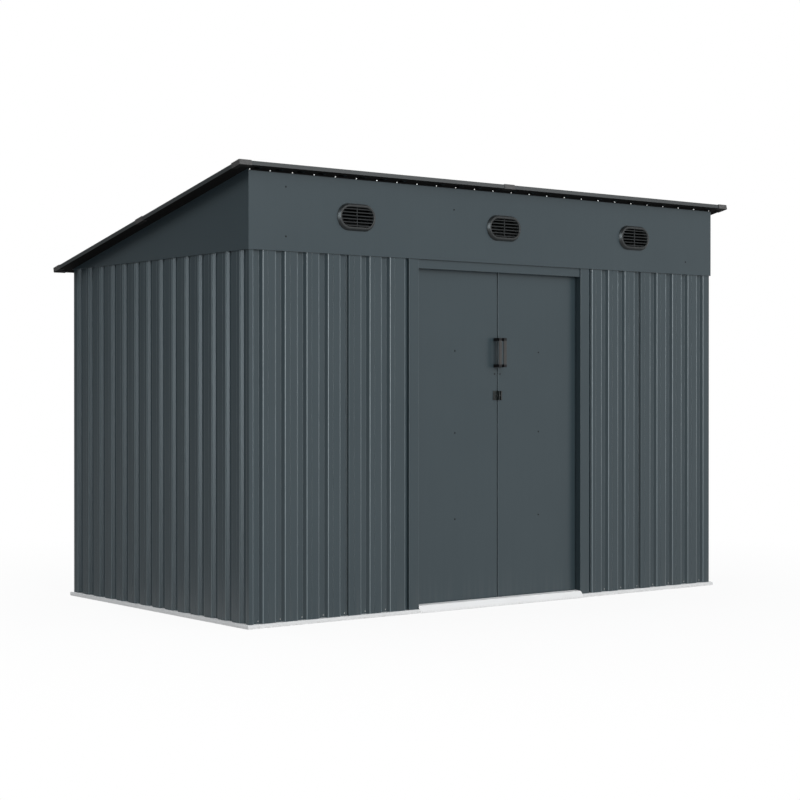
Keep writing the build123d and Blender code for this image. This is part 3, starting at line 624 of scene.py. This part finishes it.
trim_coat, trimmed, trimmed_place = start_finish("trim_coat")
trimmed_cloud = trimmed.add("TexNoise", {}, {"Vector": trimmed_place, "Scale": 6.0, "Detail": 5.0})
trimmed_grain = trimmed.add("TexNoise", {}, {"Vector": trimmed_place, "Scale": 420.0, "Detail": 3.0})
trimmed_shade = trimmed_cloud.between(0.3, 0.7)
trimmed_face = trimmed_shade.blend((0.028, 0.034, 0.036, 1), (0.034, 0.040, 0.042, 1))
trimmed_bump = trimmed.add("Bump", {}, {"Strength": 0.05, "Distance": 0.0004, "Height": trimmed_grain})
trimmed_shader = trimmed.add("BsdfPrincipled", {}, {
    "Base Color": trimmed_face, "Roughness": 0.30 + trimmed_cloud * 0.06, "Normal": trimmed_bump,
    "Specular IOR Level": 0.33})
# The trims' faces turned down get the same painted shade.
coat_with_painted_shade(trimmed, trimmed_place, trimmed_shader, turned_down(trimmed))
coat_nodes(trim_coat, "front_roof_trim", "back_roof_trim", "left_roof_trim", "right_roof_trim")


# Corner caps and joint covers: grey-brown moulded plastic with fine upright ribs, pushed over the ends
# of the trims. Underneath they are left rough from the mould, and painted dark as shade.
cap_plastic, capped, capped_place = start_finish("moulded_grey_plastic")
capped_grain = capped.add("TexNoise", {}, {"Vector": capped_place, "Scale": 700.0, "Detail": 3.0})
capped_shade = capped_grain.between(0.3, 0.7)
capped_colour = capped_shade.blend((0.040, 0.039, 0.039, 1), (0.054, 0.053, 0.052, 1))
capped_along = capped.add("VectorMath", {"operation": "DOT_PRODUCT"},
                          {0: capped_place, 1: (900, 900, 0)}, output="Value")
capped_height = capped.math("SINE", capped_along) + capped_grain * 0.3
capped_bump = capped.add("Bump", {}, {"Strength": 0.6, "Distance": 0.0006, "Height": capped_height})
capped_shader = capped.add("BsdfPrincipled", {}, {
    "Base Color": capped_colour, "Roughness": 0.45 + capped_grain * 0.15, "Normal": capped_bump})
# Faces turned down are painted near black: painted shade under the caps.
capped_painted_shade_colour = capped_grain.blend((0.006, 0.006, 0.006, 1), (0.010, 0.010, 0.010, 1))
capped_painted_shade = capped.add("BsdfPrincipled", {}, {
    "Base Color": capped_painted_shade_colour, "Roughness": 0.75 + capped_grain * 0.1, "Specular IOR Level": 0.1})
capped_shown = turned_down(capped).layer(capped_shader, capped_painted_shade)
capped.add("OutputMaterial", {}, {"Surface": capped_shown})
coat_nodes(cap_plastic, "roof_corner_caps", "roof_joint_covers")


# Eave bolts: zinc button heads along the top edge of the fascia, one to each wall pitch. They hold it
# to the lip of the front trim.
bolt_offset, bolt_edge, bolt_drop = 0.009, 0.005, 0.0031
bolt_places = [max(front_low.x + pitch * row - bolt_offset, fascia_low.x + bolt_edge)
               for row in range(front_rows + 1)]
eave_bolts = [((x, fascia_low.y, fascia_high.z - bolt_drop), to_front) for x in bolt_places]
turned_heads("eave_bolts", button_head, eave_bolts, zinc, "shed")


# Door leaves: coated sheet trays, stiffened by pressed braces behind, and hung in the track by nylon
# sliders. Small dark screws hold the braces.
coat_nodes(paint, "left_door_leaf", "right_door_leaf", "left_door_braces", "right_door_braces")
nylon = clouded("natural_nylon", 60.0, (0.60, 0.58, 0.52, 1), (0.70, 0.68, 0.62, 1), 0.35, 0.50, {})
coat_nodes(nylon, "left_door_sliders", "right_door_sliders")
leaf_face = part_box("left_door_leaf")[0].y
leaf_screw_places = ((0.241, 0.3824), (0.241, 0.7529), (0.241, 1.1056), (0.0155, 1.008))
for side, across in (("left", -1), ("right", 1)):
    leaf_screws = [((x * across, leaf_face, z), to_front) for x, z in leaf_screw_places]
    turned_heads(side + "_leaf_screws", small_head, leaf_screws, black_steel, side + "_door")


# Pull handles: a flat grip of brown-black coated steel between two black plastic feet, which are
# screwed to the leaf from behind, beside the meeting line.
def eased_block(name, low, high, edge, finish, body):
    """A moulded or pressed block between two corners, with its edges eased."""
    shape = bmesh.new()
    bmesh.ops.create_cube(shape, size=1)
    size = Vector(high) - Vector(low)
    for vertex in shape.verts:
        vertex.co = Vector(low) + Vector([(c + 0.5) * s for c, s in zip(vertex.co, size)])
    bmesh.ops.bevel(shape, geom=shape.edges[:], offset=edge, segments=3, profile=0.5, affect="EDGES")
    return finished_piece(name, shape, finish, body)


fitting, browned, browned_place = start_finish("brown_black_coat")
browned_cloud = browned.add("TexNoise", {}, {"Vector": browned_place, "Scale": 120.0, "Detail": 4.0})
browned_shade = browned_cloud.between(0.3, 0.7)
browned_colour = browned_shade.blend((0.017, 0.016, 0.015, 1), (0.026, 0.024, 0.022, 1))
browned_bump = browned.add("Bump", {}, {"Strength": 0.2, "Distance": 0.0003, "Height": browned_cloud})
browned_shader = browned.add("BsdfPrincipled", {}, {
    "Base Color": browned_colour, "Roughness": 0.38 + browned_cloud * 0.12, "Normal": browned_bump})
browned.add("OutputMaterial", {}, {"Surface": browned_shader})
grip_near, grip_far, grip_inset, grip_sheet, grip_edge = 0.006, 0.022, 0.010, 0.005, 0.0012
foot_tall, foot_proud, foot_seat, foot_edge = 0.013, 0.0005, 0.0003, 0.002
for side, across in (("left", -1), ("right", 1)):
    handle_low, handle_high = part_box(side + "_door_handle")
    near, far = sorted((grip_near * across, grip_far * across))
    pieces = [eased_block(side + "_handle_grip", (near, handle_low.y, handle_low.z + grip_inset),
                          (far, handle_low.y + grip_sheet, handle_high.z - grip_inset), grip_edge,
                          fitting, side + "_door")]
    for end, low in (("lower", handle_low.z), ("upper", handle_high.z - foot_tall)):
        pieces.append(eased_block(side + "_handle_" + end + "_foot",
                                  (near - foot_proud, handle_low.y - foot_proud, low),
                                  (far + foot_proud, leaf_face + foot_seat, low + foot_tall), foot_edge,
                                  black_steel, side + "_door"))
    for piece in pieces:
        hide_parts(side + "_door_handle")


# Hasps: pressed steel angles with a mottled black coat, riveted to the leaves at the meeting line. A
# padlock goes through the holes of their ears.
mottled = clouded("mottled_black_coat", 130.0, (0.002, 0.003, 0.003, 1), (0.019, 0.025, 0.025, 1),
                  0.36, 0.56, {}, detail=4.0, edges=(0.42, 0.58))
coat_nodes(mottled, "left_door_hasp", "right_door_hasp")
